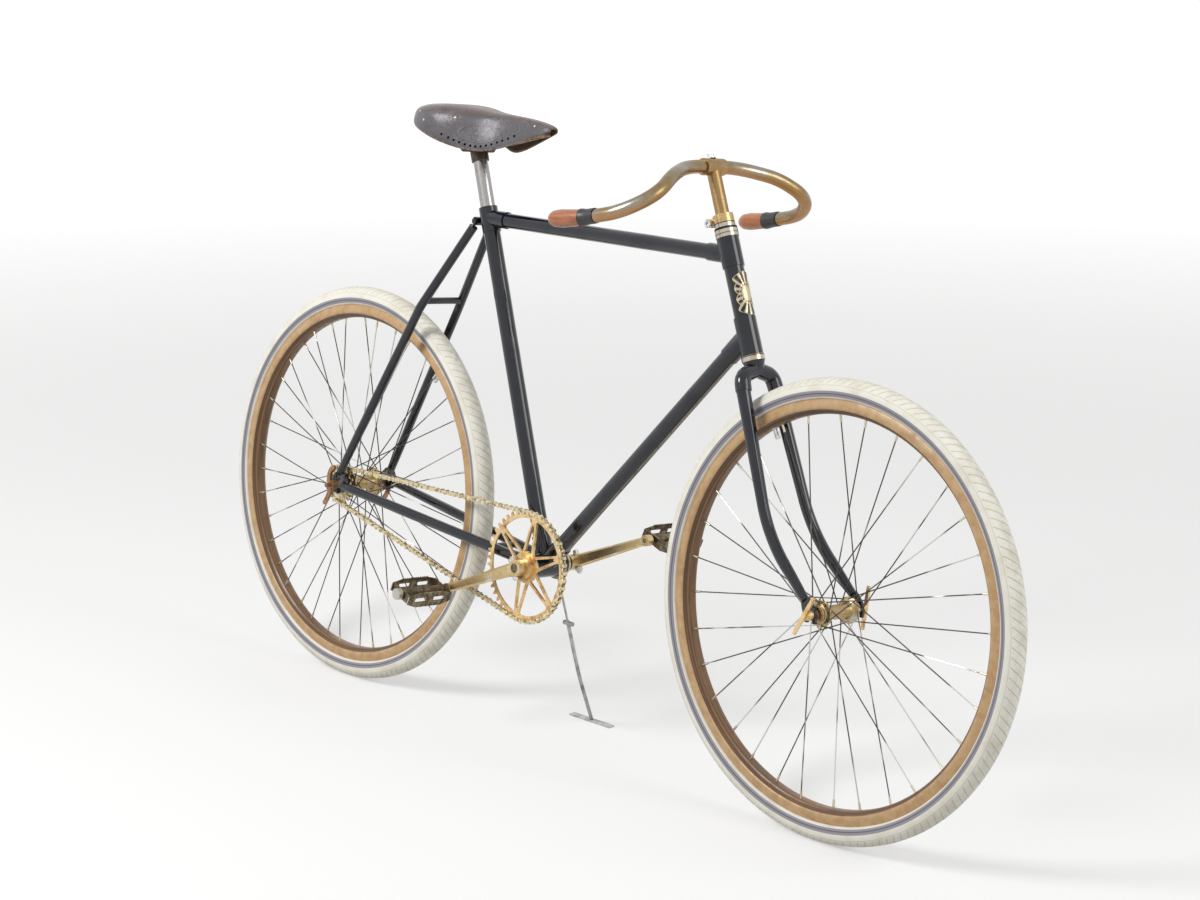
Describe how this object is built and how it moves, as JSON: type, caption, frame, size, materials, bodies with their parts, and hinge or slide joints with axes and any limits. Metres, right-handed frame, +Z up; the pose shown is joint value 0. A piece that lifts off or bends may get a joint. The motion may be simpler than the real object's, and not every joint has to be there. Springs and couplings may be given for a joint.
{
  "type": "racing bicycle",
  "caption": "Early diamond-frame racing bicycle with drop bar, leather saddle, roller chain to a fixed rear cog, and a slim prop stand it leans on.",
  "frame": {"origin": "centre of the bounding box, on the floor the tyres and the stand's foot rest on", "axes": "+X forward, +Y to the rider's left, +Z up; the bicycle leans 6.2 degrees to its left"},
  "size_m": [1.8684, 0.4882, 1.0568],
  "materials": {
    "black_paint": "old glossy enamel, dulled, with a blue sheen",
    "brassed_steel": "nickel gone to a rusty gold",
    "brown_steel": "brown aged steel",
    "chain_steel": "pale brassy steel",
    "cream_rubber": "cream rubber",
    "grip_wood": "varnished orange-brown wood",
    "old_nickel": "nickel worn to brown and brass tones",
    "saddle_leather": "grey-brown polished leather",
    "stand_steel": "plain grey steel",
    "tan_paint": "worn tan enamel"
  },
  "bodies": {
    "frame": {"bearing_cups": "old_nickel", "chain": "chain_steel", "chain_stays": "black_paint", "down_tube": "black_paint", "frame_lugs": "black_paint", "head_tube": "black_paint", "prop_stand_foot": "stand_steel", "prop_stand_rod": "stand_steel", "prop_stand_tube": "stand_steel", "rear_axle": "brown_steel", "rear_ends": "black_paint", "rear_wing_nuts": "brown_steel", "saddle": "saddle_leather", "saddle_frame": "brown_steel", "seat_pin": "old_nickel", "seat_stays": "black_paint", "seat_tube": "black_paint", "stay_bridges": "black_paint", "top_tube": "black_paint"},
    "steering": {"fork_crown": "black_paint", "fork_blades": "black_paint", "fork_ends": "black_paint", "stem": "old_nickel", "handlebar": "old_nickel", "grips": "grip_wood", "head_collars": "old_nickel", "front_axle": "brown_steel", "front_wing_nuts": "brassed_steel"},
    "front_wheel": {"front_tyre": "cream_rubber", "front_rim": "tan_paint", "front_hub": "old_nickel"},
    "rear_wheel": {"rear_tyre": "cream_rubber", "rear_rim": "tan_paint", "rear_hub": "old_nickel", "rear_cog": "chain_steel"},
    "crank": {"spindles": "brown_steel", "chainring": "brassed_steel", "cranks": "old_nickel"},
    "right_pedal": {"right_pedal": "brown_steel"},
    "left_pedal": {"left_pedal": "brown_steel"}
  },
  "joints": [
    {"name": "steering_turn", "type": "hinge", "parent": "frame", "child": "steering", "pos_m": [0.3616, -0.00376, 0.71693], "axis": [-0.3907, 0.0994, 0.9151], "range_deg": [-45, 45]},
    {"name": "front_wheel_spin", "type": "hinge", "parent": "steering", "child": "front_wheel", "pos_m": [0.57675, -0.04302, 0.35553], "axis": [0, 0.9942, -0.108], "continuous": true},
    {"name": "rear_wheel_spin", "type": "hinge", "parent": "frame", "child": "rear_wheel", "pos_m": [-0.57675, -0.04302, 0.35553], "axis": [0, 0.9942, -0.108], "continuous": true},
    {"name": "crank_spin", "type": "hinge", "parent": "frame", "child": "crank", "pos_m": [-0.06881, -0.0488, 0.30234], "axis": [0, 0.9942, -0.108], "continuous": true},
    {"name": "right_pedal_spin", "type": "hinge", "parent": "crank", "child": "right_pedal", "pos_m": [-0.23326, -0.05615, 0.23462], "axis": [0, 0.9942, -0.108], "continuous": true},
    {"name": "left_pedal_spin", "type": "hinge", "parent": "crank", "child": "left_pedal", "pos_m": [0.09564, -0.04144, 0.37006], "axis": [0, 0.9942, -0.108], "continuous": true}
  ],
  "couplings": [
    {"joint": "crank_spin", "follows": "rear_wheel_spin", "ratio": 0.34783}
  ]
}
